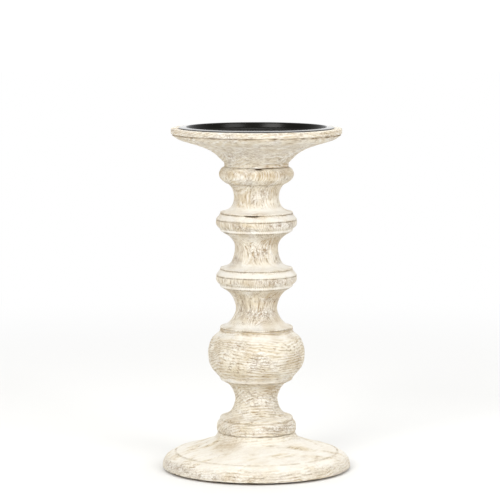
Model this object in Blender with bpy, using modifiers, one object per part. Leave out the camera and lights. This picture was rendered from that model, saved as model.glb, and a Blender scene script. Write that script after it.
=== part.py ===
"""A turned wooden candlestick for one pillar candle.

Six turned pieces of whitewashed wood sit on each other with tenons and sockets. A threaded rod
down the middle pulls them together, with a washer and a nut in a counterbore at each end. A
pressed-steel dish lies in the top cup and lifts out, and four felt pads carry the base.
Metres, +Z up. The origin is on the axis, where the felt pads meet the table.
"""

import math

import bmesh
import bpy

# Heights of the joint between each piece and the next one up.
BASE_JOINT = 0.0280
BULB_JOINT = 0.1062
LOWER_JOINT = 0.1504
MIDDLE_JOINT = 0.1921
NECK_JOINT = 0.2267
RIM_TOP = 0.2553

# Radii that set the outline.
BASE_RADIUS = 0.0705
RIM_RADIUS = 0.0635
COLLAR_RADIUS = 0.0300
EDGE_RADIUS = 0.0270  # the thin edge that ends each cove
EDGE_HEIGHT = 0.0006
BULB_RADIUS = 0.0359
FOOT_RADIUS = 0.0295
NECK_RADIUS = 0.0239

GAP = 0.0003  # between pieces that touch
EASE = 0.0004  # how much the base's lower edge is eased
CUTTER_REACH = 0.0010  # how far a cutter stands out of what it cuts

TENON_RADIUS = 0.0100
TENON_LENGTH = 0.0080
TENON_CHAMFER = 0.0005
BORE_RADIUS = 0.0035

ROD_RADIUS = 0.0027  # the plain cylinder that stands for an M6 thread
NUT_ACROSS_FLATS = 0.0100
NUT_HEIGHT = 0.0050
WASHER_RADIUS = 0.0090
WASHER_THICKNESS = 0.0012
COUNTERBORE_RADIUS = 0.0100
CUP_COUNTERBORE_FLOOR = 0.2405
BASE_COUNTERBORE_ROOF = 0.0128
ROD_END = 0.0010  # how far the rod stands out of each nut

SHEET = 0.0008  # thickness of the dish
DISH_OPENING_RADIUS = 0.0523
DISH_FLOOR_RADIUS = 0.0505
DISH_DEPTH = 0.0052
FLANGE_RADIUS = 0.0579
RECESS_RADIUS = 0.0536

PAD_RADIUS = 0.0080
PAD_THICKNESS = 0.0012
PAD_CIRCLE = 0.0560
PAD_COUNT = 4

WIDE_SEGMENTS = 40
COLUMN_SEGMENTS = 24
SMALL_SEGMENTS = 16

FLANGE_BOTTOM = RIM_TOP + GAP
FLANGE_TOP = FLANGE_BOTTOM + SHEET
DISH_FLOOR_TOP = FLANGE_TOP - DISH_DEPTH
DISH_FLOOR_BOTTOM = DISH_FLOOR_TOP - SHEET
RECESS_FLOOR = DISH_FLOOR_BOTTOM - GAP
BASE_BOTTOM = PAD_THICKNESS + GAP


# Outlines. A point is (radius, height), and every outline runs down the outer side.


def arc(start, end, rise, steps):
    """Points on a circular arc from start to end whose middle stands rise outside the chord."""
    half = math.dist(start, end) / 2
    radius = (half * half + rise * rise) / (2 * abs(rise))
    turn = 2 * math.asin(min(1.0, half / radius))
    out = (start[1] - end[1]) / (2 * half), (end[0] - start[0]) / (2 * half)
    along = -out[1], out[0]
    side = math.copysign(1.0, rise)
    middle = [(a + b) / 2 for a, b in zip(start, end)]
    centre = [m + o * (rise - side * radius) for m, o in zip(middle, out)]
    points = []
    for i in range(steps + 1):
        angle = turn * (i / steps - 0.5)
        reach = side * radius * math.cos(angle)
        slide = -radius * math.sin(angle)
        points.append(tuple(c + o * reach + a * slide for c, o, a in zip(centre, out, along)))
    return points


def flow(knots, steps):
    """Points on a smooth curve through the knots."""
    padded = [knots[0], *knots, knots[-1]]
    points = [knots[0]]
    for before, start, end, after in zip(padded, padded[1:], padded[2:], padded[3:]):
        for i in range(1, steps + 1):
            t = i / steps
            points.append(
                tuple(
                    0.5
                    * (
                        2 * b
                        + (c - a) * t
                        + (2 * a - 5 * b + 4 * c - d) * t * t
                        + (3 * b - a - 3 * c + d) * t**3
                    )
                    for a, b, c, d in zip(before, start, end, after)
                )
            )
    return points


def collar(joint):
    """The moulding under a joint: ovolo, fine groove, band, fillet and the groove over the cove."""
    top = joint - GAP / 2
    return [
        (EDGE_RADIUS, top),
        *arc((0.0272, joint - 0.0013), (COLLAR_RADIUS, joint - 0.0045), 0.0004, 3),
        (0.0296, joint - 0.0048),
        (COLLAR_RADIUS, joint - 0.0051),
        *arc((COLLAR_RADIUS, joint - 0.0080), (0.0279, joint - 0.0105), 0.0003, 2),
        (0.0267, joint - 0.0132),
        (0.0252, joint - 0.0136),
    ]


def cove(knots, joint):
    """A cove through the knots, ending in the thin edge above the joint."""
    edge = [(EDGE_RADIUS, joint + EDGE_HEIGHT), (EDGE_RADIUS, joint + GAP / 2)]
    return [*flow([*knots, edge[0]], 1), edge[1]]


def tenon(joint):
    """The tenon under a joint, down its side and in to the rod's bore."""
    shoulder = joint + GAP / 2
    return [
        (TENON_RADIUS, shoulder),
        (TENON_RADIUS, shoulder - TENON_LENGTH + TENON_CHAMFER),
        (TENON_RADIUS - TENON_CHAMFER, shoulder - TENON_LENGTH),
        (BORE_RADIUS, shoulder - TENON_LENGTH),
    ]


def socket(joint):
    """The socket in a piece's top face, from the rod's bore up to the face."""
    face = joint - GAP / 2
    floor = face - TENON_LENGTH
    return [
        (BORE_RADIUS, floor),
        (TENON_RADIUS + GAP, floor),
        (TENON_RADIUS + GAP, face),
    ]


# Objects.


def new_collection(name, hidden):
    collection = bpy.data.collections.new(name)
    collection.hide_render = hidden
    bpy.context.scene.collection.children.link(collection)
    return collection


def material(name, colour, roughness, metallic):
    made = bpy.data.materials.new(name)
    made.use_nodes = True
    shader = made.node_tree.nodes["Principled BSDF"]
    shader.inputs["Base Color"].default_value = (*colour, 1.0)
    shader.inputs["Roughness"].default_value = roughness
    shader.inputs["Metallic"].default_value = metallic
    made.diffuse_color = (*colour, 1.0)
    return made


def add_object(name, mesh, finish, collection):
    obj = bpy.data.objects.new(name, mesh)
    mesh.shade_smooth()
    mesh.set_sharp_from_angle(angle=math.radians(35))
    obj.data.materials.append(finish)
    collection.objects.link(obj)
    return obj


def turned(name, outline, finish, segments, closed=True):
    """Spins an outline about Z. A closed one has a bore, and an open one starts and ends on the axis."""
    edges = [(i, i + 1) for i in range(len(outline) - 1)]
    if closed:
        edges.append((len(outline) - 1, 0))
    mesh = bpy.data.meshes.new(name)
    mesh.from_pydata([(radius, 0.0, height) for radius, height in outline], edges, [])
    obj = add_object(name, mesh, finish, parts)
    screw = obj.modifiers.new("Turn", "SCREW")
    screw.axis = "Z"
    screw.angle = math.tau
    screw.steps = segments
    screw.render_steps = segments
    screw.use_merge_vertices = True
    screw.merge_threshold = 0.00001
    return obj


def disc_outline(radius, bottom, top):
    return [(0.0, top), (radius, top), (radius, bottom), (0.0, bottom)]


def ring_outline(inner, outer, bottom, top):
    return [(inner, top), (outer, top), (outer, bottom), (inner, bottom)]


def prism(name, radius, bottom, top, sides, finish, collection):
    mesh = bpy.data.meshes.new(name)
    bm = bmesh.new()
    bmesh.ops.create_cone(
        bm,
        cap_ends=True,
        segments=sides,
        radius1=radius,
        radius2=radius,
        depth=top - bottom,
    )
    bmesh.ops.translate(bm, verts=bm.verts, vec=(0, 0, (bottom + top) / 2))
    bm.to_mesh(mesh)
    bm.free()
    return add_object(name, mesh, finish, collection)


# Turned wood.


def make_top_cup():
    rim = 0.0006  # rounding of the rim's edges
    outline = [
        (RECESS_RADIUS, RIM_TOP),
        (RIM_RADIUS - rim, RIM_TOP),
        (RIM_RADIUS, RIM_TOP - rim),
        (RIM_RADIUS, RIM_TOP - 0.0038),
        (RIM_RADIUS - 0.0011, RIM_TOP - 0.0044),
        *arc((RIM_RADIUS - 0.0010, RIM_TOP - 0.0048), (0.0532, 0.2454), 0.0006, 4),
        (0.0520, 0.2452),
        *arc((0.0516, 0.2450), (0.0252, 0.2309), -0.0026, 7),
        (NECK_RADIUS, 0.2305),
        (NECK_RADIUS, NECK_JOINT + GAP / 2),
        *tenon(NECK_JOINT),
        (BORE_RADIUS, CUP_COUNTERBORE_FLOOR),
        (COUNTERBORE_RADIUS, CUP_COUNTERBORE_FLOOR),
        (COUNTERBORE_RADIUS, RECESS_FLOOR),
        (RECESS_RADIUS, RECESS_FLOOR),
    ]
    turned("top_cup", outline, wood, WIDE_SEGMENTS)


def make_upper_column():
    knots = [
        (0.0201, 0.2133),
        (0.0175, 0.2099),
        (0.0165, 0.2055),
        (0.0167, 0.2018),
        (0.0181, 0.1977),
        (0.0206, 0.1950),
        (0.0242, 0.1935),
    ]
    outline = [
        *arc((0.0239, NECK_JOINT - GAP / 2), (0.0246, 0.2161), 0.0036, 6),
        *cove(knots, MIDDLE_JOINT),
        *tenon(MIDDLE_JOINT),
        *socket(NECK_JOINT),
    ]
    turned("upper_column", outline, wood, COLUMN_SEGMENTS)


def make_middle_column():
    knots = [
        (0.0250, 0.1780),
        (0.0208, 0.1753),
        (0.0178, 0.1723),
        (0.0161, 0.1688),
        (0.0159, 0.1653),
        (0.0166, 0.1606),
        (0.0182, 0.1562),
        (0.0205, 0.1533),
        (0.0244, 0.1514),
    ]
    outline = [
        *collar(MIDDLE_JOINT),
        *cove(knots, LOWER_JOINT),
        *tenon(LOWER_JOINT),
        *socket(MIDDLE_JOINT),
    ]
    turned("middle_column", outline, wood, COLUMN_SEGMENTS)


def make_lower_column():
    knots = [
        (0.0250, 0.1364),
        (0.0209, 0.1335),
        (0.0181, 0.1303),
        (0.0162, 0.1263),
        (0.0149, 0.1211),
        (0.0157, 0.1178),
        (0.0176, 0.1135),
        (0.0202, 0.1105),
        (0.0234, 0.1081),
    ]
    outline = [
        *collar(LOWER_JOINT),
        *cove(knots, BULB_JOINT),
        *tenon(BULB_JOINT),
        *socket(LOWER_JOINT),
    ]
    turned("lower_column", outline, wood, COLUMN_SEGMENTS)


def make_bulb_section():
    bulb = [
        (0.0288, 0.1013),
        (0.0322, 0.0993),
        (0.0342, 0.0955),
        (0.0356, 0.0908),
        (BULB_RADIUS, 0.0863),
        (0.0352, 0.0806),
        (0.0332, 0.0762),
        (0.0300, 0.0724),
        (0.0275, 0.0701),
    ]
    waist = [
        (0.0250, 0.0665),
        (0.0210, 0.0643),
        (0.0181, 0.0608),
        (0.0163, 0.0566),
        (0.0154, 0.0531),
        (0.0160, 0.0496),
        (0.0175, 0.0453),
        (0.0200, 0.0419),
        (0.0236, 0.0398),
        (EDGE_RADIUS, 0.0386),
    ]
    outline = [
        (EDGE_RADIUS, BULB_JOINT - GAP / 2),
        (EDGE_RADIUS, 0.1041),
        (0.0279, 0.1036),
        *flow(bulb, 1),
        (0.0271, 0.0696),
        (0.0264, 0.0671),
        *flow(waist, 1),
        (EDGE_RADIUS, 0.0373),
        *arc((0.0272, 0.0368), (FOOT_RADIUS, 0.0331), 0.0004, 3),
        (FOOT_RADIUS, 0.0295),
        (0.0291, BASE_JOINT + GAP / 2),
        *tenon(BASE_JOINT),
        *socket(BULB_JOINT),
    ]
    turned("bulb_section", outline, wood, COLUMN_SEGMENTS)


def make_base():
    outline = [
        (0.0291, BASE_JOINT - GAP / 2),
        *arc((0.0293, 0.0266), (0.0360, 0.0209), -0.0009, 4),
        *arc((0.0360, 0.0209), (0.0602, 0.0132), -0.0003, 4)[1:],
        (0.0608, 0.0122),
        *arc((0.0614, 0.0128), (0.0674, 0.0096), 0.0005, 3),
        *arc((0.0674, 0.0096), (BASE_RADIUS - 0.0002, 0.0046), 0.0005, 3)[1:],
        (BASE_RADIUS, 0.0030),
        (BASE_RADIUS, BASE_BOTTOM + EASE),
        (BASE_RADIUS - EASE, BASE_BOTTOM),
        (COUNTERBORE_RADIUS, BASE_BOTTOM),
        (COUNTERBORE_RADIUS, BASE_COUNTERBORE_ROOF),
        (BORE_RADIUS, BASE_COUNTERBORE_ROOF),
        *socket(BASE_JOINT),
    ]
    turned("base", outline, wood, WIDE_SEGMENTS)


# The dish.


def make_candle_dish():
    inside = arc(
        (DISH_FLOOR_RADIUS - 0.0008, DISH_FLOOR_TOP),
        (DISH_FLOOR_RADIUS + 0.0002, DISH_FLOOR_TOP + 0.0009),
        0.0003,
        2,
    )
    outline = [
        (0.0, DISH_FLOOR_TOP),
        *inside,
        (DISH_OPENING_RADIUS - 0.0003, FLANGE_TOP - 0.0003),
        (DISH_OPENING_RADIUS, FLANGE_TOP),
        (FLANGE_RADIUS, FLANGE_TOP),
        (FLANGE_RADIUS, FLANGE_BOTTOM),
        (DISH_OPENING_RADIUS + SHEET, FLANGE_BOTTOM),
        (DISH_FLOOR_RADIUS + SHEET, DISH_FLOOR_BOTTOM + 0.0006),
        (DISH_FLOOR_RADIUS, DISH_FLOOR_BOTTOM),
        (0.0, DISH_FLOOR_BOTTOM),
    ]
    turned("candle_dish", outline, black_steel, WIDE_SEGMENTS, closed=False)


# The tie rod and what tightens it.


def make_nut(name, bottom):
    corner_radius = NUT_ACROSS_FLATS / 2 / math.cos(math.pi / 6)
    nut = prism(name, corner_radius, bottom, bottom + NUT_HEIGHT, 6, zinc, parts)
    hole = prism(
        name + "_hole",
        ROD_RADIUS + GAP,
        bottom - CUTTER_REACH,
        bottom + NUT_HEIGHT + CUTTER_REACH,
        SMALL_SEGMENTS,
        zinc,
        cutters,
    )
    hole.hide_render = True
    hole.display_type = "WIRE"
    cut = nut.modifiers.new("Hole", "BOOLEAN")
    cut.operation = "DIFFERENCE"
    cut.object = hole


def make_fastenings():
    washer_hole = ROD_RADIUS + GAP
    upper_washer = CUP_COUNTERBORE_FLOOR + GAP
    upper_nut = upper_washer + WASHER_THICKNESS + GAP
    lower_washer = BASE_COUNTERBORE_ROOF - GAP - WASHER_THICKNESS
    lower_nut = lower_washer - GAP - NUT_HEIGHT
    for name, bottom in (("upper_washer", upper_washer), ("lower_washer", lower_washer)):
        outline = ring_outline(washer_hole, WASHER_RADIUS, bottom, bottom + WASHER_THICKNESS)
        turned(name, outline, zinc, SMALL_SEGMENTS)
    make_nut("upper_nut", upper_nut)
    make_nut("lower_nut", lower_nut)
    rod = disc_outline(ROD_RADIUS, lower_nut - ROD_END, upper_nut + NUT_HEIGHT + ROD_END)
    turned("tie_rod", rod, zinc, SMALL_SEGMENTS, closed=False)


def make_felt_pads():
    for i in range(PAD_COUNT):
        angle = math.tau * (i + 0.5) / PAD_COUNT
        outline = disc_outline(PAD_RADIUS, 0.0, PAD_THICKNESS)
        pad = turned(f"felt_pad_{i + 1}", outline, felt, SMALL_SEGMENTS, closed=False)
        pad.location = (PAD_CIRCLE * math.cos(angle), PAD_CIRCLE * math.sin(angle), 0.0)


for leftover in list(bpy.data.objects):
    bpy.data.objects.remove(leftover, do_unlink=True)

parts = new_collection("Wooden candlestick", hidden=False)
cutters = new_collection("Cutters", hidden=True)

wood = material("Whitewashed wood", (0.78, 0.72, 0.60), 0.75, 0.0)
black_steel = material("Black painted steel", (0.02, 0.02, 0.02), 0.35, 0.0)
zinc = material("Zinc-plated steel", (0.60, 0.61, 0.62), 0.35, 1.0)
felt = material("Brown felt", (0.10, 0.07, 0.05), 0.95, 0.0)

make_top_cup()
make_upper_column()
make_middle_column()
make_lower_column()
make_bulb_section()
make_base()
make_candle_dish()
make_fastenings()
make_felt_pads()
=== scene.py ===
import math
from itertools import product

import bpy
import numpy as np
from mathutils import Matrix, Vector


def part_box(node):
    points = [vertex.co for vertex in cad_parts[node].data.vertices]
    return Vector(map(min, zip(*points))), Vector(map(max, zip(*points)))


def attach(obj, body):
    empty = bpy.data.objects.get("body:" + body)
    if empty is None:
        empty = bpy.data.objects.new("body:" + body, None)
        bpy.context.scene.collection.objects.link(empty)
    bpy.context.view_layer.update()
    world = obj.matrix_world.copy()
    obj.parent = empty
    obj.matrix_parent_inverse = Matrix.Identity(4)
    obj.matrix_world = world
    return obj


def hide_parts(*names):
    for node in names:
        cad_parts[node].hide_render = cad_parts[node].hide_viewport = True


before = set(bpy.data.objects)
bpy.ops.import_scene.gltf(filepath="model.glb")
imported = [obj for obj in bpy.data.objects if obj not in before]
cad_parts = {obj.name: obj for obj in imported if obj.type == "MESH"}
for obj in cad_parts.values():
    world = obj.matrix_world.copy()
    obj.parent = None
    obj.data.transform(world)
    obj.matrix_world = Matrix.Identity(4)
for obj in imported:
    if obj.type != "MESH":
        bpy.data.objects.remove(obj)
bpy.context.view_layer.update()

mm = 0.001
frontAngle = -math.pi / 2  # the side that faces the camera


def deselectAll():
    if bpy.context.mode != "OBJECT":
        bpy.ops.object.mode_set(mode="OBJECT")
    bpy.ops.object.select_all(action="DESELECT")


def makeActive(piece):
    deselectAll()
    piece.select_set(True)
    bpy.context.view_layer.objects.active = piece


def applyModifier(piece, kind, **settings):
    modifier = piece.modifiers.new(kind.title(), kind)
    for key, value in settings.items():
        setattr(modifier, key, value)
    makeActive(piece)
    bpy.ops.object.modifier_apply(modifier=modifier.name)


def nodeTop(node):
    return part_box(node)[1][2]


def nodeCentre(node):
    low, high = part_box(node)
    return [(a + b) / 2 for a, b in zip(low, high)]


def fromTop(node, profile):
    # profiles are drawn in millimetres, as radius and drop below the top of the CAD piece
    top = nodeTop(node)
    return [(radius * mm, top - drop * mm, *smooth) for radius, drop, *smooth in profile]


def finePath(profile, spacing):
    # (radius, height) is a corner, and a third value marks a point that the curve flows through
    path = [Vector(profile[0][:2])]
    start = 0
    while start < len(profile) - 1:
        end = start + 1
        while len(profile[end]) > 2:
            end += 1
        knots = [Vector(point[:2]) for point in profile[start:end + 1]]
        padded = [knots[0] * 2 - knots[1]] + knots + [knots[-1] * 2 - knots[-2]]
        for a, b, c, d in zip(padded, padded[1:], padded[2:], padded[3:]):
            steps = max(1, round((c - b).length / spacing))
            for i in range(1, steps + 1):
                t = i / steps
                if len(knots) == 2:
                    path.append(b.lerp(c, t))
                else:
                    path.append(0.5 * (2 * b + (c - a) * t + (2 * a - 5 * b + 4 * c - d) * t * t
                                       + (3 * b - a - 3 * c + d) * t ** 3))
        start = end
    return path


def chainOf(name, path, closed):
    # a plane merged to one point and extruded along the path, as a chain of edges
    deselectAll()
    bpy.ops.mesh.primitive_plane_add(size=mm, location=(path[0].x, 0, path[0].y))
    chain = bpy.context.active_object
    chain.name = name
    chain.data.name = name
    bpy.ops.object.transform_apply(location=True, rotation=True, scale=True)
    bpy.ops.object.mode_set(mode="EDIT")
    bpy.ops.mesh.select_mode(type="VERT")
    bpy.ops.mesh.select_all(action="SELECT")
    bpy.ops.mesh.merge(type="CENTER")
    for before, after in zip(path, path[1:]):
        step = after - before
        bpy.ops.mesh.extrude_region_move(TRANSFORM_OT_translate={"value": (step.x, 0, step.y)})
    if closed:
        # the two ends are found by their places, because extruding may renumber the points
        bpy.ops.mesh.select_all(action="DESELECT")
        bpy.ops.object.mode_set(mode="OBJECT")
        for point in chain.data.vertices:
            here = Vector((point.co.x, point.co.z))
            point.select = min((here - path[0]).length, (here - path[-1]).length) < 0.001 * mm
        bpy.ops.object.mode_set(mode="EDIT")
        bpy.ops.mesh.edge_face_add()
    bpy.ops.object.mode_set(mode="OBJECT")
    return chain


def pointOutwards(piece):
    makeActive(piece)
    bpy.ops.object.mode_set(mode="EDIT")
    bpy.ops.mesh.select_all(action="SELECT")
    bpy.ops.mesh.normals_make_consistent(inside=False)
    bpy.ops.object.mode_set(mode="OBJECT")


def turnChain(chain, segments):
    applyModifier(chain, "SCREW", steps=segments, render_steps=segments, use_merge_vertices=True,
                  merge_threshold=0.001 * mm, use_smooth_shade=True)
    pointOutwards(chain)
    return chain


def finishPiece(piece, body, node, material):
    piece.data.materials.clear()
    piece.data.materials.append(material)
    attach(piece, body)
    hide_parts(node)
    print("made", piece.name, len(piece.data.polygons), "faces")


def smoothStep(low, high, values):
    t = np.clip((values - low) / (high - low), 0, 1)
    return t * t * (3 - 2 * t)


gradients = np.random.default_rng(11).normal(size=(512, 3))


def noiseField(points, stretch, seed=0):
    # smooth noise between about -1 and 1, with one bump per stretch along each axis
    scaled = points / np.array(stretch) + seed * 17.3
    cell = np.floor(scaled).astype(np.int64)
    part = scaled - cell
    fade = part ** 3 * (part * (part * 6 - 15) + 10)
    total = np.zeros(len(points))
    for corner in product((0, 1), repeat=3):
        x, y, z = (cell + corner).T
        pick = gradients[(x * 73856093 ^ y * 19349663 ^ z * 83492791) & 511]
        share = np.prod(np.where(corner, fade, 1 - fade), axis=1)
        total += share * np.sum(pick * (part - corner), axis=1)
    return total


def newMaterial(name):
    material = bpy.data.materials.new(name)
    material.use_nodes = True
    tree = material.node_tree
    return material, tree, tree.nodes["Principled BSDF"]


def addNode(tree, kind, values=None, **settings):
    # a value is a socket to link from, or a plain number or colour
    node = tree.nodes.new("ShaderNode" + kind)
    for key, value in settings.items():
        setattr(node, key, value)
    for socket, value in (values or {}).items():
        if isinstance(value, bpy.types.NodeSocket):
            tree.links.new(value, node.inputs[socket])
        else:
            node.inputs[socket].default_value = value
    return node


def coordinatesOf(tree, turn=(0, 0, 0), scale=(1, 1, 1)):
    place = addNode(tree, "TexCoord").outputs["Object"]
    turned = addNode(tree, "Mapping", {"Vector": place, "Rotation": turn})
    return addNode(tree, "Mapping", {"Vector": turned.outputs[0], "Scale": scale}).outputs[0]


def noiseOf(tree, vector, scale, detail=2.0, roughness=0.5):
    return addNode(tree, "TexNoise", {"Vector": vector, "Scale": scale, "Detail": detail,
                                      "Roughness": roughness}).outputs["Fac"]


def remap(tree, value, low, high, toLow=0.0, toHigh=1.0):
    return addNode(tree, "MapRange", {0: value, 1: low, 2: high, 3: toLow, 4: toHigh},
                   interpolation_type="SMOOTHSTEP").outputs[0]


def mathOf(tree, operation, first, second=0.0, clamp=False):
    return addNode(tree, "Math", {0: first, 1: second}, operation=operation, use_clamp=clamp).outputs[0]


def multiply(tree, first, *others):
    for other in others:
        first = mathOf(tree, "MULTIPLY", first, other)
    return first


def inverse(tree, value, amount):
    return mathOf(tree, "SUBTRACT", 1.0, mathOf(tree, "MULTIPLY", value, amount), clamp=True)


def mixColour(tree, factor, first, second):
    return addNode(tree, "Mix", {0: factor, 6: first, 7: second}, data_type="RGBA").outputs[2]


def ownAttribute(tree, name):
    return addNode(tree, "Attribute", attribute_name=name).outputs["Fac"]


def addBump(tree, shader, height, strength, distance):
    bump = addNode(tree, "Bump", {"Height": height, "Strength": strength, "Distance": distance})
    tree.links.new(bump.outputs[0], shader.inputs["Normal"])


# whitewashed wood

woodColours = {
    "white": (0.825, 0.815, 0.785, 1),
    "chalk": (0.740, 0.685, 0.570, 1),
    "cream": (0.665, 0.585, 0.435, 1),
    "tan": (0.425, 0.320, 0.190, 1),
    "umber": (0.310, 0.205, 0.105, 1),
    "brown": (0.165, 0.110, 0.060, 1),
    "bareWood": (0.47, 0.33, 0.19, 1),
    "bareWarm": (0.41, 0.265, 0.14, 1),
    "bareDark": (0.27, 0.165, 0.08, 1),
}


def makeWood(name, fibres):
    # the first of the turned coordinates runs along the fibres
    material, tree, shader = newMaterial(name)
    marks = {mark: ownAttribute(tree, mark) for mark in woodMarks}
    turn = fibres.to_euler()
    even = coordinatesOf(tree, turn)
    along = coordinatesOf(tree, turn, (0.10, 1, 1))
    dashes = coordinatesOf(tree, turn, (0.25, 1, 1))
    # low where the cover mark's whitewash and painted highlight are
    outsidePaintAndHighlight = inverse(tree, marks["paintCoverAndHighlight"], 0.85)

    patches = noiseOf(tree, even, 75, 3, 0.6)
    mottle = noiseOf(tree, even, 520, 3, 0.65)
    streaks = noiseOf(tree, along, 1700, 2, 0.6)
    flecks = noiseOf(tree, dashes, 800, 2, 0.6)
    broad = noiseOf(tree, dashes, 210, 2, 0.55)
    curls = noiseOf(tree, even, 330, 1.5, 0.5)

    turned = mathOf(tree, "MULTIPLY", marks["rings"], math.tau)
    wave = mathOf(tree, "COSINE", turned)
    line = remap(tree, wave, 0.20, 0.95)
    # painted highlight: the ridges between the grain grooves are marked to be made whiter, as if lit
    ridge = multiply(tree, remap(tree, wave, 0.0, -0.9), remap(tree, broad, 0.62, 0.40), outsidePaintAndHighlight)
    broken = remap(tree, broad, 0.36, 0.62, 0.5, 1.0)
    groove = multiply(tree, line, marks["grooved"], broken, outsidePaintAndHighlight)
    fleck = multiply(tree, remap(tree, flecks, 0.58, 0.70), remap(tree, broad, 0.44, 0.60), outsidePaintAndHighlight)
    crack = remap(tree, mathOf(tree, "ABSOLUTE", mathOf(tree, "SUBTRACT", curls, 0.5)), 0.045, 0.010)
    crack = multiply(tree, crack, marks["rough"], remap(tree, broad, 0.36, 0.56))
    hollow = multiply(tree, marks["pits"], remap(tree, streaks, 0.38, 0.58, 0.35, 1.0), outsidePaintAndHighlight)

    wash = mixColour(tree, remap(tree, patches, 0.36, 0.64), woodColours["chalk"], woodColours["cream"])
    wash = mixColour(tree, multiply(tree, remap(tree, streaks, 0.48, 0.75), 0.45), wash, woodColours["tan"])
    spots = multiply(tree, remap(tree, mottle, 0.52, 0.72), 0.45)
    wash = mixColour(tree, spots, wash, woodColours["white"])
    # tan where the wear mark is: rubbed patches, and painted shadow where its spots sit under the cup and
    # collars
    rubbedAndShaded = multiply(tree, marks["wearAndShade"], remap(tree, streaks, 0.32, 0.62, 0.3, 0.9))
    wash = mixColour(tree, rubbedAndShaded, wash, woodColours["tan"])
    # painted highlight on the ridges between the grooves
    wash = mixColour(tree, multiply(tree, ridge, 0.55), wash, woodColours["white"])
    wash = mixColour(tree, multiply(tree, marks["rough"], 0.50), wash, woodColours["white"])
    # painted shade: the grooves of the grain are tinted tan, as if shaded
    wash = mixColour(tree, multiply(tree, groove, 0.90), wash, woodColours["tan"])
    wash = mixColour(tree, multiply(tree, fleck, 0.70), wash, woodColours["umber"])
    wash = mixColour(tree, multiply(tree, hollow, 0.85), wash, woodColours["umber"])
    # brown where flecks lie in the grooves: dark flecks deepened by painted shade
    wash = mixColour(tree, multiply(tree, groove, fleck, 0.9), wash, woodColours["brown"])
    wash = mixColour(tree, multiply(tree, crack, 0.75), wash, woodColours["umber"])
    # white where the cover mark is: partly whitewash, partly painted highlight on upward faces and bevels
    paintAndHighlightWhite = multiply(tree, marks["paintCoverAndHighlight"], inverse(tree, marks["wearAndShade"], 0.8), 0.65)
    wash = mixColour(tree, paintAndHighlightWhite, wash, woodColours["white"])
    # tan and then brown along the crease lines: partly stain, partly painted shade
    creaseTintAndShade = multiply(tree, marks["creaseStainAndShade"], remap(tree, broad, 0.34, 0.62, 0.45, 1.0))
    wash = mixColour(tree, creaseTintAndShade, wash, woodColours["tan"])
    deepCreaseStainAndShade = multiply(tree, marks["creaseStainAndShade"], marks["creaseStainAndShade"], remap(tree, flecks, 0.40, 0.56, 0.15, 0.95))
    wash = mixColour(tree, deepCreaseStainAndShade, wash, woodColours["brown"])

    figure = multiply(tree, remap(tree, wave, -0.6, 1.0), remap(tree, streaks, 0.30, 0.66, 0.2, 0.75))
    warmth = remap(tree, patches, 0.3, 0.7)
    timber = mixColour(tree, warmth, woodColours["bareWood"], woodColours["bareWarm"])
    timber = mixColour(tree, figure, timber, woodColours["bareDark"])
    tree.links.new(mixColour(tree, marks["bare"], wash, timber), shader.inputs["Base Color"])
    tree.links.new(remap(tree, mottle, 0.3, 0.7, 0.60, 0.80), shader.inputs["Roughness"])
    shader.inputs["Specular IOR Level"].default_value = 0.35

    height = multiply(tree, streaks, 0.35)
    height = mathOf(tree, "ADD", height, multiply(tree, mottle, 0.35))
    height = mathOf(tree, "SUBTRACT", height, multiply(tree, groove, 0.55))
    height = mathOf(tree, "SUBTRACT", height, multiply(tree, fleck, 0.25))
    height = mathOf(tree, "SUBTRACT", height, multiply(tree, crack, 0.6))
    addBump(tree, shader, height, 1.0, 0.70 * mm)
    return material


def makeBlackSteel(name, gloss):
    material, tree, shader = newMaterial(name)
    even = coordinatesOf(tree)
    cloud = noiseOf(tree, even, 55, 3, 0.6)
    peel = noiseOf(tree, even, 900, 2, 0.5)
    colour = mixColour(tree, cloud, (0.003, 0.003, 0.002, 1), (0.009, 0.008, 0.006, 1))
    tree.links.new(colour, shader.inputs["Base Color"])
    tree.links.new(remap(tree, cloud, 0.3, 0.7, *gloss["roughness"]), shader.inputs["Roughness"])
    shader.inputs["Specular IOR Level"].default_value = gloss["specular"]
    addBump(tree, shader, peel, 0.05, 0.05 * mm)
    return material


def makeZinc():
    material, tree, shader = newMaterial("zincPlate")
    even = coordinatesOf(tree)
    spangle = noiseOf(tree, even, 600, 3, 0.6)
    colour = mixColour(tree, spangle, (0.50, 0.51, 0.53, 1), (0.70, 0.70, 0.68, 1))
    tree.links.new(colour, shader.inputs["Base Color"])
    tree.links.new(remap(tree, spangle, 0.3, 0.7, 0.24, 0.42), shader.inputs["Roughness"])
    shader.inputs["Metallic"].default_value = 1.0
    addBump(tree, shader, spangle, 0.15, 0.05 * mm)
    return material


def makeFelt():
    material, tree, shader = newMaterial("brownFelt")
    even = coordinatesOf(tree)
    fibres = noiseOf(tree, even, 2400, 4, 0.7)
    clumps = noiseOf(tree, even, 500, 2, 0.5)
    colour = mixColour(tree, clumps, (0.085, 0.055, 0.035, 1), (0.16, 0.11, 0.075, 1))
    colour = mixColour(tree, multiply(tree, fibres, 0.4), colour, (0.24, 0.18, 0.13, 1))
    tree.links.new(colour, shader.inputs["Base Color"])
    shader.inputs["Roughness"].default_value = 0.95
    shader.inputs["Sheen Weight"].default_value = 0.25
    addBump(tree, shader, fibres, 0.8, 0.2 * mm)
    return material


# turned wood

woodMarks = ("rings", "grooved", "pits", "creaseStainAndShade", "wearAndShade", "paintCoverAndHighlight", "rough", "bare")

fit = {
    "tenonRadius": 10.0,
    "tenonLength": 8.0,
    "socketRadius": 10.3,
    "boreRadius": 3.5,
    "counterboreRadius": 10.0,
}


def tenonAt(drop):
    # from the shoulder in to the tenon, down its side and in to the bore
    tip = drop + fit["tenonLength"]
    return [(fit["tenonRadius"], drop), (fit["tenonRadius"], tip - 0.5),
            (fit["tenonRadius"] - 0.5, tip), (fit["boreRadius"], tip)]


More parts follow.
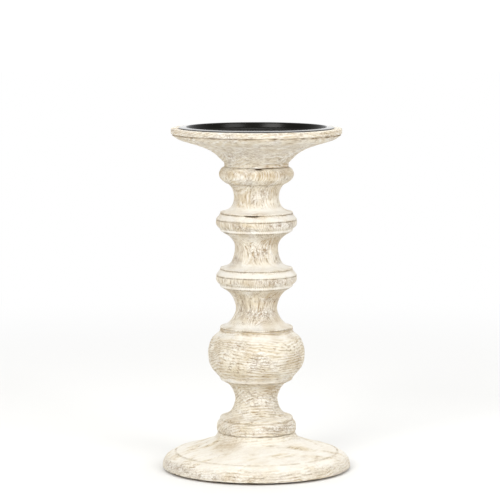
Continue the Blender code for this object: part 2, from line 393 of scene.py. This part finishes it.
def socketAt(drop):
    # from the bore up to the mouth of the socket in a piece's top face
    floor = drop + fit["tenonLength"]
    return [(fit["boreRadius"], floor), (fit["socketRadius"], floor),
            (fit["socketRadius"], drop + 0.3), (fit["socketRadius"] + 0.3, drop)]


def fibreBasis(grain):
    # rows: along the fibres, towards the pith and across
    along = Vector(grain["fibre"]).normalized()
    towards = Vector(grain["pithWay"])
    towards = (towards - along * towards.dot(along)).normalized()
    return Matrix((along, towards, along.cross(towards)))


def around(angles, drops, spot):
    # 1 at the middle of the spot and 0 well outside it
    turn = (angles - spot["angle"] + 180) % 360 - 180
    return np.exp(-(turn / spot["wide"]) ** 4 - ((drops - spot["drop"]) / spot["tall"]) ** 2)


def brushWood(piece, made, shown, basis):
    mesh = made.data
    count = len(mesh.vertices)
    flat = np.empty(count * 3)
    mesh.vertices.foreach_get("co", flat)
    places = flat.reshape(-1, 3) / mm
    normals = np.empty(count * 3)
    mesh.vertices.foreach_get("normal", normals)
    normals = normals.reshape(-1, 3)
    drops = nodeTop(piece["node"]) / mm - places[:, 2]
    reach = np.hypot(places[:, 0], places[:, 1])
    angles = np.degrees(np.arctan2(places[:, 1], places[:, 0]) - frontAngle)
    grain = piece["grain"]

    middle = np.array([0, 0, places[:, 2].mean()])
    q = (places - middle) @ np.array(basis).T
    slow = noiseField(q, (34, 15, 15), 1)
    ripple = noiseField(q, (10, 4.5, 4.5), 2)
    rings = np.hypot(q[:, 1] - grain["pith"], q[:, 2])
    jagged = noiseField(q, (3.6, 1.5, 1.5), 9)
    rings = (rings + grain["sway"] * slow + 0.6 * ripple + 0.28 * jagged) / grain["spacing"]
    line = smoothStep(0.1, 0.95, np.cos(math.tau * rings))
    grooved = grain["grooves"] * smoothStep(-0.30, 0.25, noiseField(q, (6, 2.0, 2.0), 3))
    pits = smoothStep(0.0, 0.22, noiseField(q, (4.2, 1.1, 1.1), 4) - grain["pitFrom"])
    crazed = 1 - smoothStep(0.03, 0.20, np.abs(noiseField(places, (2.6, 2.6, 1.7), 8)))

    # darkening along each listed line: partly dark stain in the mouldings and joints, partly painted shade
    # where the creases and joint lines fall into shadow
    creaseStainAndShade = np.zeros(count)
    for radius, drop, width, strength in piece["lines"]:
        away = np.hypot(reach - radius, drops - drop)
        creaseStainAndShade = np.maximum(creaseStainAndShade, strength * np.exp(-(away / width) ** 2))
    creaseStainAndShade *= smoothStep(-0.9, 0.3, noiseField(places, (5, 5, 5), 10))
    # the cover mark is whitewash that fills the grooves plus a painted highlight: faces that point up are
    # made whiter, as if lit from above
    upward = smoothStep(0.45, 0.95, normals[:, 2])
    brushed = noiseField(q, (34, 6, 6), 5) + 0.6 * noiseField(places, (17, 17, 17), 12)
    paintCoverAndHighlight = grain["paintCoverAndHighlight"] * (0.35 + 0.65 * upward) * smoothStep(-0.8, 0.15, brushed)
    patch = noiseField(places, (13, 13, 9), 6)
    # the wear mark is random rubbed tan patches; its spots at the right of the neck and the upper right of
    # the coves are painted shadow cast by the cup and the collars
    wearAndShade = grain["wearAndShade"] * smoothStep(0.0, 0.45, patch)
    rough = grain["rough"] * smoothStep(0.05, 0.45, noiseField(places, (12, 12, 7), 7))
    extra = {"creaseStainAndShade": creaseStainAndShade, "wearAndShade": wearAndShade, "paintCoverAndHighlight": paintCoverAndHighlight, "rough": rough}
    # spots raise or lower the marks at listed places: crease spots taken off on the left side and wear
    # spots under the cup and collars are painted shade, cover spots on the bevels are painted highlight
    for spot in piece["spots"]:
        extra[spot["mark"]] += spot["strength"] * around(angles, drops, spot)
    extra = {mark: np.clip(values, 0, 1) for mark, values in extra.items()}

    pits = np.maximum(pits, crazed * extra["rough"])
    depth = grain["relief"] * (0.9 * line * grooved + 0.7 * pits) * (1 - 0.75 * extra["paintCoverAndHighlight"])
    depth += 0.10 * slow - grain["swell"]
    moved = places - normals * (depth * shown)[:, None]
    outward = places * (1, 1, 0) / np.maximum(reach, 1)[:, None]
    for dent in piece.get("dents", ()):
        share = around(angles, drops, dent) * smoothStep(17, 23, reach)
        moved -= share[:, None] * (outward * dent["inward"] + (0, 0, dent["down"]))
    mesh.vertices.foreach_set("co", (moved * mm).ravel())
    values = {"rings": rings, "grooved": grooved, "pits": pits, "bare": 1.0 - shown, **extra}
    for mark in woodMarks:
        mesh.attributes.new(mark, "FLOAT", "POINT").data.foreach_set("value", values[mark])
    mesh.update()


def makeTurned(piece):
    node = piece["node"]
    outer = finePath(fromTop(node, piece["outer"]), piece["spacing"] * mm)
    inner = finePath(fromTop(node, [piece["outer"][-1][:2]] + piece["inner"]), 2.5 * mm)[1:]
    closing = finePath([tuple(inner[-1]), tuple(outer[0])], 1.2 * mm)[1:-1]
    path = outer + inner + closing
    chain = chainOf(piece["name"], path, closed=True)
    onPath = np.array([tuple(point) for point in path])
    isShown = []
    for vertex in chain.data.vertices:
        away = np.hypot(onPath[:, 0] - vertex.co.x, onPath[:, 1] - vertex.co.z)
        isShown.append(float(away.argmin() < len(outer)))
    made = turnChain(chain, piece["segments"])
    basis = fibreBasis(piece["grain"])
    brushWood(piece, made, np.tile(isShown, piece["segments"]), basis)
    finishPiece(made, "stand", node, makeWood(piece["name"] + "Wood", basis))


collarOuter = [
    (26.9, 0.0), (27.1, 0.25), (27.5, 1.15, 1), (28.5, 2.3, 1), (29.4, 3.3, 1), (29.95, 4.35),
    (29.2, 4.75), (29.95, 5.2), (30.05, 6.4, 1), (29.95, 7.8, 1), (29.4, 9.2, 1), (28.3, 10.4, 1),
    (27.4, 11.0, 1), (27.2, 11.7, 1), (26.8, 12.9, 1), (26.3, 13.2), (25.4, 13.75),
]

topCup = {
    "name": "topCup", "node": "top_cup", "segments": 500, "spacing": 0.5,
    "outer": [
        (53.6, 0.0), (62.9, 0.0), (63.4, 0.25), (63.5, 0.7), (63.5, 3.7), (61.95, 4.4), (62.7, 5.0),
        (61.0, 6.25, 1), (57.6, 8.4, 1), (53.4, 9.75), (52.4, 10.1), (45.9, 12.0, 1), (37.6, 15.0, 1),
        (31.3, 18.6, 1), (27.7, 21.9, 1), (25.2, 24.4, 1), (24.1, 25.6, 1), (23.9, 28.2), (23.75, 28.45),
    ],
    "inner": tenonAt(28.45) + [
        (fit["boreRadius"], 14.8), (fit["counterboreRadius"], 14.8), (fit["counterboreRadius"], 5.2),
        (53.3, 5.2), (53.6, 4.9)],
    "grain": {"fibre": (1, 0.28, 0.05), "pithWay": (0.2, 0.15, 1), "pith": 140,
              "spacing": 2.0, "sway": 1.4, "grooves": 0.6, "pitFrom": 0.20,
              "relief": 0.20, "swell": 0.0, "wearAndShade": 0.2, "paintCoverAndHighlight": 0.6, "rough": 0.55},
    "lines": [(62.2, 4.5, 0.7, 1.0), (53.0, 9.95, 0.6, 0.6), (23.9, 28.5, 0.5, 0.4)],
    "spots": [
        {"mark": "wearAndShade", "angle": 52, "drop": 26.6, "wide": 42, "tall": 1.9, "strength": 1.0},
        {"mark": "rough", "angle": 10, "drop": 17, "wide": 70, "tall": 7, "strength": 0.6},
        {"mark": "creaseStainAndShade", "angle": -90, "drop": 28.5, "wide": 75, "tall": 1.2, "strength": -0.6},
        {"mark": "wearAndShade", "angle": -62, "drop": 1.0, "wide": 20, "tall": 1.2, "strength": 0.6},
        {"mark": "rough", "angle": -24, "drop": 3.6, "wide": 16, "tall": 1.4, "strength": 0.8},
        {"mark": "wearAndShade", "angle": 60, "drop": 1.6, "wide": 16, "tall": 1.0, "strength": 0.6},
    ],
}

upperColumn = {
    "name": "upperColumn", "node": "upper_column", "segments": 380, "spacing": 0.36,
    "outer": [
        (23.8, 0.0), (24.2, 0.15), (26.06, 1.3, 1), (27.3, 3.0, 1), (27.8, 5.25, 1), (27.3, 7.6, 1),
        (26.0, 9.3, 1), (23.4, 11.4, 1), (20.1, 13.25, 1), (17.8, 16.65, 1), (16.7, 20.6, 1),
        (16.8, 24.75, 1), (18.2, 28.85, 1), (20.8, 31.45, 1), (24.2, 32.85, 1), (26.8, 33.5),
        (27.05, 33.8), (26.95, 34.3),
    ],
    "inner": tenonAt(34.3) + socketAt(0.0),
    "grain": {"fibre": (0.16, -0.10, 1), "pithWay": (1, 0.6, 0.2), "pith": 36,
              "spacing": 1.45, "sway": 3.4, "grooves": 0.9, "pitFrom": 0.34,
              "relief": 0.30, "swell": 0.1, "wearAndShade": 0.5, "paintCoverAndHighlight": 0.5, "rough": 0.5},
    "lines": [(24.0, 0.1, 0.6, 0.4), (27.6, 4.2, 0.9, 0.35), (21.9, 12.2, 0.9, 0.5),
              (27.0, 34.3, 0.4, 0.6)],
    "spots": [
        {"mark": "creaseStainAndShade", "angle": -90, "drop": 0.0, "wide": 75, "tall": 1.2, "strength": -0.6},
        {"mark": "wearAndShade", "angle": -10, "drop": 4.6, "wide": 60, "tall": 2.2, "strength": 0.6},
        {"mark": "wearAndShade", "angle": 45, "drop": 17, "wide": 34, "tall": 6, "strength": 0.9},
        {"mark": "wearAndShade", "angle": -40, "drop": 22, "wide": 20, "tall": 9, "strength": 0.6},
        {"mark": "rough", "angle": 6, "drop": 21, "wide": 24, "tall": 5, "strength": 0.8},
        {"mark": "paintCoverAndHighlight", "angle": 0, "drop": 31.5, "wide": 999, "tall": 2.4, "strength": 0.8},
    ],
    "dents": [
        {"angle": 4, "drop": 0.0, "wide": 6, "tall": 1.0, "inward": 0.6, "down": 1.1},
        {"angle": -80, "drop": 0.0, "wide": 70, "tall": 1.0, "inward": 0.0, "down": -0.22},
    ],
}

middleColumn = {
    "name": "middleColumn", "node": "middle_column", "segments": 380, "spacing": 0.36,
    "outer": collarOuter + [
        (21.1, 16.45, 1), (18.0, 19.55, 1), (16.3, 23.1, 1), (16.05, 26.65, 1), (16.8, 31.35, 1),
        (18.4, 35.75, 1), (20.7, 38.45, 1), (24.4, 40.2, 1), (26.8, 40.75), (27.05, 41.0), (26.95, 41.4),
    ],
    "inner": tenonAt(41.4) + socketAt(0.0),
    "grain": {"fibre": (-0.12, 0.2, 1), "pithWay": (-0.15, -1, 0), "pith": 27,
              "spacing": 1.4, "sway": 4.0, "grooves": 0.9, "pitFrom": 0.36,
              "relief": 0.30, "swell": 0.1, "wearAndShade": 0.5, "paintCoverAndHighlight": 0.5, "rough": 0.6},
    "lines": [(27.0, 0.0, 0.4, 0.9), (29.5, 4.75, 0.55, 0.9), (25.6, 13.6, 0.6, 1.0),
              (27.0, 41.4, 0.4, 0.6)],
    "spots": [
        {"mark": "paintCoverAndHighlight", "angle": 0, "drop": 2.4, "wide": 999, "tall": 1.9, "strength": 0.9},
        {"mark": "paintCoverAndHighlight", "angle": 0, "drop": 12.2, "wide": 999, "tall": 0.8, "strength": 0.8},
        {"mark": "paintCoverAndHighlight", "angle": 0, "drop": 38.6, "wide": 999, "tall": 2.4, "strength": 0.8},
        {"mark": "wearAndShade", "angle": -40, "drop": 7.2, "wide": 45, "tall": 2.2, "strength": 0.5},
        {"mark": "rough", "angle": 42, "drop": 7.0, "wide": 30, "tall": 2.2, "strength": 1.0},
        {"mark": "wearAndShade", "angle": 48, "drop": 19, "wide": 36, "tall": 5, "strength": 1.0},
        {"mark": "wearAndShade", "angle": -52, "drop": 28, "wide": 18, "tall": 8, "strength": 0.7},
        {"mark": "rough", "angle": 12, "drop": 27, "wide": 34, "tall": 5.5, "strength": 1.0},
    ],
    "dents": [{"angle": -7, "drop": 0.0, "wide": 12, "tall": 1.3, "inward": 0.1, "down": 0.65}],
}

lowerColumn = {
    "name": "lowerColumn", "node": "lower_column", "segments": 380, "spacing": 0.36,
    "outer": collarOuter + [
        (21.2, 16.55, 1), (18.3, 19.85, 1), (16.4, 23.95, 1), (15.25, 28.6, 1), (15.7, 32.2, 1),
        (17.7, 36.7, 1), (20.3, 39.75, 1), (23.4, 42.05, 1), (26.8, 43.1), (27.05, 43.5), (26.95, 43.9),
    ],
    "inner": tenonAt(43.9) + socketAt(0.0),
    "grain": {"fibre": (0.1, -0.16, 1), "pithWay": (0.4, -1, 0), "pith": 30,
              "spacing": 1.4, "sway": 3.6, "grooves": 0.9, "pitFrom": 0.36,
              "relief": 0.30, "swell": 0.1, "wearAndShade": 0.5, "paintCoverAndHighlight": 0.45, "rough": 0.6},
    "lines": [(27.0, 0.0, 0.4, 0.6), (29.5, 4.75, 0.55, 0.9), (25.6, 13.6, 0.6, 0.95),
              (27.0, 43.9, 0.4, 0.6)],
    "spots": [
        {"mark": "paintCoverAndHighlight", "angle": 0, "drop": 2.4, "wide": 999, "tall": 1.9, "strength": 0.9},
        {"mark": "paintCoverAndHighlight", "angle": 0, "drop": 12.2, "wide": 999, "tall": 0.8, "strength": 0.8},
        {"mark": "paintCoverAndHighlight", "angle": 0, "drop": 41.6, "wide": 999, "tall": 2.0, "strength": 0.6},
        {"mark": "wearAndShade", "angle": 20, "drop": 7.8, "wide": 50, "tall": 2.4, "strength": 0.8},
        {"mark": "rough", "angle": 30, "drop": 7.0, "wide": 34, "tall": 2.4, "strength": 0.9},
        {"mark": "wearAndShade", "angle": 46, "drop": 21, "wide": 34, "tall": 7, "strength": 1.0},
        {"mark": "wearAndShade", "angle": -50, "drop": 27, "wide": 20, "tall": 9, "strength": 0.5},
        {"mark": "rough", "angle": 18, "drop": 32, "wide": 40, "tall": 5, "strength": 1.0},
    ],
}

bulbSection = {
    "name": "bulbSection", "node": "bulb_section", "segments": 360, "spacing": 0.49,
    "outer": [
        (26.9, 0.0), (27.1, 0.25), (27.15, 1.9), (27.9, 3.2, 1), (30.3, 5.2, 1), (32.8, 7.6, 1),
        (34.4, 10.5, 1), (35.7, 15.25, 1), (36.0, 19.75, 1), (35.3, 25.45, 1), (33.3, 29.85, 1),
        (30.2, 33.6, 1), (28.1, 35.8, 1), (27.1, 37.6, 1), (26.6, 38.75), (25.2, 39.35), (21.2, 41.65, 1),
        (18.3, 45.15, 1), (16.5, 49.35, 1), (15.6, 52.95, 1), (16.2, 56.45, 1), (17.7, 60.75, 1),
        (20.2, 64.05, 1), (23.6, 66.05, 1), (26.6, 66.9), (27.1, 67.5), (27.1, 68.7), (26.75, 69.05),
        (27.6, 69.6, 1), (28.9, 71.1, 1), (29.5, 72.7, 1), (29.6, 74.8, 1), (29.5, 76.6, 1), (29.1, 77.9),
    ],
    "inner": tenonAt(77.9) + socketAt(0.0),
    "grain": {"fibre": (1, 0.36, -0.04), "pithWay": (0.1, -0.42, -1), "pith": 70,
              "spacing": 2.1, "sway": 2.4, "grooves": 1.0, "pitFrom": 0.36,
              "relief": 0.29, "swell": 0.1, "wearAndShade": 0.45, "paintCoverAndHighlight": 0.35, "rough": 0.45},
    "lines": [(27.0, 0.0, 0.4, 0.7), (27.1, 1.4, 1.1, 0.50), (25.3, 39.4, 0.8, 1.0),
              (26.8, 69.05, 0.5, 0.6), (29.1, 78.0, 0.4, 0.5)],
    "spots": [
        {"mark": "wearAndShade", "angle": 0, "drop": 1.2, "wide": 999, "tall": 1.0, "strength": 0.80},
        {"mark": "paintCoverAndHighlight", "angle": 0, "drop": 4.4, "wide": 999, "tall": 1.8, "strength": 0.6},
        {"mark": "paintCoverAndHighlight", "angle": 0, "drop": 37.6, "wide": 999, "tall": 1.2, "strength": 0.8},
        {"mark": "wearAndShade", "angle": 50, "drop": 22, "wide": 17, "tall": 6, "strength": 0.9},
        {"mark": "wearAndShade", "angle": 52, "drop": 37.8, "wide": 26, "tall": 1.2, "strength": 0.9},
        {"mark": "rough", "angle": 6, "drop": 21, "wide": 14, "tall": 5, "strength": 0.9},
        {"mark": "wearAndShade", "angle": 44, "drop": 45, "wide": 34, "tall": 4, "strength": 0.9},
        {"mark": "rough", "angle": 30, "drop": 54, "wide": 40, "tall": 5, "strength": 0.8},
        {"mark": "rough", "angle": 38, "drop": 72.5, "wide": 40, "tall": 3.5, "strength": 0.9},
        {"mark": "rough", "angle": -50, "drop": 73, "wide": 20, "tall": 3.0, "strength": 0.5},
    ],
}

base = {
    "name": "roundBase", "node": "base", "segments": 540, "spacing": 0.5,
    "outer": [
        (28.9, 0.0), (29.15, 0.2), (29.35, 1.25, 1), (30.6, 3.5, 1), (32.8, 5.5, 1), (36.3, 7.1, 1),
        (43.4, 9.6, 1), (51.5, 12.1, 1), (59.9, 14.65), (60.75, 15.55), (61.6, 15.0), (64.6, 16.6, 1),
        (67.4, 18.4, 1), (69.4, 20.9, 1), (70.3, 23.3, 1), (70.5, 24.9, 1), (70.5, 25.9), (70.0, 26.35),
    ],
    "inner": [(fit["counterboreRadius"], 26.35), (fit["counterboreRadius"], 15.05),
              (fit["boreRadius"], 15.05)] + socketAt(0.0),
    "grain": {"fibre": (1, 0.42, 0.06), "pithWay": (-0.3, -0.5, -1), "pith": 150,
              "spacing": 1.9, "sway": 1.2, "grooves": 1.0, "pitFrom": 0.38,
              "relief": 0.20, "swell": -0.12, "wearAndShade": 0.12, "paintCoverAndHighlight": 0.85, "rough": 0.2},
    "lines": [(29.1, 0.0, 0.5, 0.5), (60.8, 15.4, 1.1, 0.55)],
    "spots": [
        {"mark": "rough", "angle": 0, "drop": 21.5, "wide": 999, "tall": 4, "strength": 0.35},
        {"mark": "wearAndShade", "angle": 0, "drop": 22.5, "wide": 999, "tall": 3, "strength": 0.15},
        {"mark": "wearAndShade", "angle": -38, "drop": 6.0, "wide": 18, "tall": 3.4, "strength": 1.0},
        {"mark": "rough", "angle": -62, "drop": 21, "wide": 16, "tall": 1.8, "strength": 1.0},
        {"mark": "wearAndShade", "angle": -62, "drop": 21, "wide": 14, "tall": 1.6, "strength": 0.5},
        {"mark": "rough", "angle": -32, "drop": 23, "wide": 9, "tall": 1.6, "strength": 0.7},
    ],
}

for turnedPiece in (topCup, upperColumn, middleColumn, lowerColumn, bulbSection, base):
    makeTurned(turnedPiece)


# the loose dish

dish = {
    "profile": [
        (0.0, 5.2), (49.2, 5.2), (50.3, 4.95, 1), (50.9, 4.1, 1), (51.9, 0.75, 1), (52.2, 0.15, 1),
        (52.9, 0.0), (56.3, 0.28, 1), (57.3, 0.40, 1), (57.8, 0.55, 1), (57.9, 0.68), (57.5, 0.8),
        (53.7, 0.8), (53.0, 1.1, 1), (51.8, 4.8, 1), (51.2, 5.75, 1), (50.1, 6.0), (0.0, 6.0),
    ],
    "segments": 256,
    "flangeFrom": 52.5,  # the flat flange outside this radius is smoother than the pan
    "panGloss": {"roughness": (0.22, 0.30), "specular": 0.16},
    "flangeGloss": {"roughness": (0.08, 0.10), "specular": 0.35},
}

dishPath = finePath(fromTop("candle_dish", dish["profile"]), 0.8 * mm)
candleDish = turnChain(chainOf("candleDish", dishPath, closed=False), dish["segments"])
panEnamel = makeBlackSteel("blackEnamel", dish["panGloss"])
finishPiece(candleDish, "dish", "candle_dish", panEnamel)
candleDish.data.materials.append(makeBlackSteel("smoothEnamel", dish["flangeGloss"]))
for face in candleDish.data.polygons:
    face.material_index = int(math.hypot(face.center.x, face.center.y) > dish["flangeFrom"] * mm)


# the tie rod, its nuts and its washers

zinc = makeZinc()
thread = {
    "pitch": 1.0,
    "crest": 2.92,
    "root": 2.48,
    "core": 2.52,
    "chamfer": 0.8,
    "plainEnd": 1.2,  # the rod is plain for this length at its foot
    "plainTop": 2.2,
    "flanks": (0.40, 0.52, 0.92),  # where the crest starts and ends and the ridge ends, in pitches
    "turnSteps": 20,
    "rodSegments": 32,
    "smoothBelow": 35,
}


def makeTieRod():
    low, high = (corner[2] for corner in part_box("tie_rod"))
    core, chamfer = thread["core"] * mm, thread["chamfer"] * mm
    ends = [(0.0, high), (core - chamfer, high), (core, high - chamfer), (core, low + chamfer),
            (core - chamfer, low), (0.0, low)]
    rod = turnChain(chainOf("tieRod", finePath(ends, 40 * mm), closed=False), thread["rodSegments"])
    pitch = thread["pitch"] * mm
    bottom = low + thread["plainEnd"] * mm
    crest, root = thread["crest"] * mm, thread["root"] * mm
    crestStart, crestEnd, ridgeEnd = (bottom + share * pitch for share in thread["flanks"])
    ridge = finePath([(root, bottom), (crest, crestStart), (crest, crestEnd), (root, ridgeEnd)], 5 * mm)
    helix = chainOf("rodThread", ridge, closed=True)
    turns = int((high - thread["plainTop"] * mm - bottom) / pitch)
    applyModifier(helix, "SCREW", steps=thread["turnSteps"], render_steps=thread["turnSteps"],
                  iterations=turns, screw_offset=pitch, use_smooth_shade=False)
    bpy.ops.object.mode_set(mode="EDIT")
    bpy.ops.mesh.select_mode(type="EDGE")
    bpy.ops.mesh.select_all(action="DESELECT")
    # only the open loops at the two ends of the thread
    bpy.ops.mesh.select_non_manifold(use_wire=False, use_boundary=True, use_multi_face=False,
                                     use_non_contiguous=False, use_verts=False)
    bpy.ops.mesh.edge_face_add()
    bpy.ops.object.mode_set(mode="OBJECT")
    pointOutwards(helix)
    makeActive(rod)
    helix.select_set(True)
    bpy.ops.object.join()
    bpy.ops.object.shade_smooth_by_angle(angle=math.radians(thread["smoothBelow"]))
    finishPiece(rod, "stand", "tie_rod", zinc)


nutShape = {
    "acrossFlats": 10.0,
    "faceRadius": 4.6,  # the round face inside the chamfer
    "chamferReach": 6.2,
    "chamferDrop": 0.9,
    "boreRadius": 3.02,
    "sinkRadius": 4.4,
    "edge": 0.12,
    "shaperSegments": 64,
    "boreSegments": 32,
    "smoothBelow": 35,
}


def makeNut(name, node):
    low, high = (corner[2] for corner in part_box(node))
    middle, height = (low + high) / 2, high - low
    corner = nutShape["acrossFlats"] * mm / 2 / math.cos(math.pi / 6)
    deselectAll()
    bpy.ops.mesh.primitive_cylinder_add(vertices=6, radius=corner, depth=height, location=(0, 0, middle))
    nut = bpy.context.active_object
    nut.name = name
    nut.data.name = name
    bpy.ops.object.transform_apply(location=True, rotation=True, scale=True)
    face, reach = nutShape["faceRadius"] * mm, nutShape["chamferReach"] * mm
    drop = nutShape["chamferDrop"] * mm
    chamfered = [(0.0, high + 0.1 * mm), (face, high + 0.1 * mm), (reach, high - drop),
                 (reach, low + drop), (face, low - 0.1 * mm), (0.0, low - 0.1 * mm)]
    shaperChain = chainOf("nutShape", finePath(chamfered, 9 * mm), closed=False)
    shaper = turnChain(shaperChain, nutShape["shaperSegments"])
    hole, sink = nutShape["boreRadius"] * mm, nutShape["sinkRadius"] * mm
    bore = [(0.0, high + 1 * mm), (sink, high + 1 * mm), (hole, high - 0.5 * mm),
            (hole, low + 0.5 * mm), (sink, low - 1 * mm), (0.0, low - 1 * mm)]
    drill = turnChain(chainOf("nutBore", finePath(bore, 9 * mm), closed=False), nutShape["boreSegments"])
    for cutter, operation in ((shaper, "INTERSECT"), (drill, "DIFFERENCE")):
        applyModifier(nut, "BOOLEAN", operation=operation, object=cutter, solver="EXACT")
        bpy.data.objects.remove(cutter)
    smoothBelow = math.radians(nutShape["smoothBelow"])
    applyModifier(nut, "BEVEL", width=nutShape["edge"] * mm, segments=2, limit_method="ANGLE",
                  angle_limit=smoothBelow, use_clamp_overlap=True)
    makeActive(nut)
    bpy.ops.object.shade_smooth_by_angle(angle=smoothBelow)
    finishPiece(nut, "stand", node, zinc)


washerShape = {"radius": 9.0, "holeRadius": 3.1, "ease": 0.2, "segments": 96, "smoothBelow": 50}


def makeWasher(name, node):
    low, high = (corner[2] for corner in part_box(node))
    ease, rim, hole = (washerShape[key] * mm for key in ("ease", "radius", "holeRadius"))
    ring = [(rim - ease, high), (rim, high - ease), (rim, low + ease), (rim - ease, low),
            (hole + ease, low), (hole, low + ease), (hole, high - ease), (hole + ease, high)]
    washer = turnChain(chainOf(name, finePath(ring, 6 * mm), closed=True), washerShape["segments"])
    bpy.ops.object.shade_smooth_by_angle(angle=math.radians(washerShape["smoothBelow"]))
    finishPiece(washer, "stand", node, zinc)


makeTieRod()
makeNut("upperNut", "upper_nut")
makeNut("lowerNut", "lower_nut")
makeWasher("upperWasher", "upper_washer")
makeWasher("lowerWasher", "lower_washer")


# felt pads

felt = makeFelt()
padShape = {
    "radius": 8.0,
    "thickness": 1.45,
    "fuzz": 0.12,
    "edgeIn": 0.3,
    "edgeDrop": 0.35,
    "segments": 96,
}


def makePad(number):
    node = f"felt_pad_{number}"
    x, y, _ = nodeCentre(node)
    radius, top = (padShape["radius"] - padShape["fuzz"]) * mm, padShape["thickness"] * mm
    flat, drop = radius - padShape["edgeIn"] * mm, padShape["edgeDrop"] * mm
    edge = [(0.0, top), (flat, top), (radius, top - drop, 1), (radius, drop, 1), (flat, 0.0), (0.0, 0.0)]
    pad = turnChain(chainOf(f"feltPad{number}", finePath(edge, 0.25 * mm), closed=False),
                    padShape["segments"])
    places = np.empty(len(pad.data.vertices) * 3)
    pad.data.vertices.foreach_get("co", places)
    places = places.reshape(-1, 3)
    fuzz = noiseField(places / mm, (0.6, 0.6, 0.5), number) * padShape["fuzz"] * mm
    reach = np.hypot(places[:, 0], places[:, 1])
    sideways = smoothStep(0.9 * radius, radius, reach) * fuzz / np.maximum(reach, mm)
    places[:, :2] += places[:, :2] * sideways[:, None] + (x, y)
    pad.data.vertices.foreach_set("co", places.ravel())
    pad.data.update()
    finishPiece(pad, "stand", node, felt)


for padNumber in range(1, 5):
    makePad(padNumber)


# floor, light and camera

stage = {
    "floorSize": 14.0,
    "floorColour": (0.78, 0.78, 0.77, 1),
    "floorFade": (0.30, 1.0),  # the floor turns to an even white between these distances
    "skyBright": 1.25,
    "skyDim": 0.36,
    "skyTurn": (-0.3, 0.95),  # where the sky goes from dim to bright, from the front to the back
    "aimHeight": 0.13,
    "lamps": [
        {"name": "keyLight", "place": (-0.95, -1.70, 1.15), "size": 1.0, "power": 28,
         "colour": (1.0, 0.985, 0.96)},
        {"name": "fillLight", "place": (1.25, -1.45, 0.95), "size": 1.0, "power": 20,
         "colour": (1.0, 1.0, 1.0)},
        {"name": "topLight", "place": (0.1, 0.1, 1.9), "size": 1.5, "power": 15,
         "colour": (1.0, 1.0, 1.0)},
    ],
}


def makeFloor():
    deselectAll()
    bpy.ops.mesh.primitive_plane_add(size=stage["floorSize"], location=(0, 0, 0))
    floor = bpy.context.active_object
    floor.name = "floor"
    material, tree, shader = newMaterial("paleFloor")
    shader.inputs["Base Color"].default_value = stage["floorColour"]
    shader.inputs["Roughness"].default_value = 0.9
    shader.inputs["Specular IOR Level"].default_value = 0.1
    place = addNode(tree, "TexCoord").outputs["Object"]
    away = addNode(tree, "VectorMath", {0: place}, operation="LENGTH").outputs["Value"]
    glow = addNode(tree, "Emission")
    fade = addNode(tree, "MixShader", {0: remap(tree, away, *stage["floorFade"]), 1: shader.outputs[0],
                                       2: glow.outputs[0]})
    tree.links.new(fade.outputs[0], tree.nodes["Material Output"].inputs["Surface"])
    floor.data.materials.append(material)


def makeLamp(lamp):
    deselectAll()
    bpy.ops.object.light_add(type="AREA", location=lamp["place"])
    light = bpy.context.active_object
    light.name = lamp["name"]
    light.data.size = lamp["size"]
    light.data.energy = lamp["power"]
    light.data.color = lamp["colour"]
    aim = Vector((0, 0, stage["aimHeight"])) - Vector(lamp["place"])
    light.rotation_euler = aim.to_track_quat("-Z", "Y").to_euler()


def makeSky():
    # bright towards the back of the set, dimmer on the camera's side
    world = bpy.data.worlds.new("studio")
    bpy.context.scene.world = world
    world.use_nodes = True
    tree = world.node_tree
    direction = addNode(tree, "TexCoord").outputs["Generated"]
    split = addNode(tree, "SeparateXYZ", {0: direction})
    facing = remap(tree, split.outputs[1], *stage["skyTurn"], stage["skyDim"], stage["skyBright"])
    seen = addNode(tree, "LightPath").outputs["Is Camera Ray"]
    strength = mathOf(tree, "MAXIMUM", facing, seen)
    sky = tree.nodes["Background"]
    sky.inputs["Color"].default_value = (1, 1, 1, 1)
    tree.links.new(strength, sky.inputs["Strength"])


view = {"place": (-0.0048, -1.947, 0.3803), "downTilt": 6.33, "lens": 189.3, "sensorWidth": 36}


def makeCamera():
    deselectAll()
    bpy.ops.object.camera_add(location=view["place"])
    camera = bpy.context.active_object
    camera.rotation_euler = (math.radians(90 - view["downTilt"]), 0, 0)
    camera.data.lens = view["lens"]
    camera.data.sensor_width = view["sensorWidth"]
    camera.data.clip_start = 0.05
    camera.data.clip_end = 50
    bpy.context.scene.camera = camera


makeFloor()
for stageLamp in stage["lamps"]:
    makeLamp(stageLamp)
makeSky()
bpy.context.scene.view_settings.view_transform = "Standard"
makeCamera()
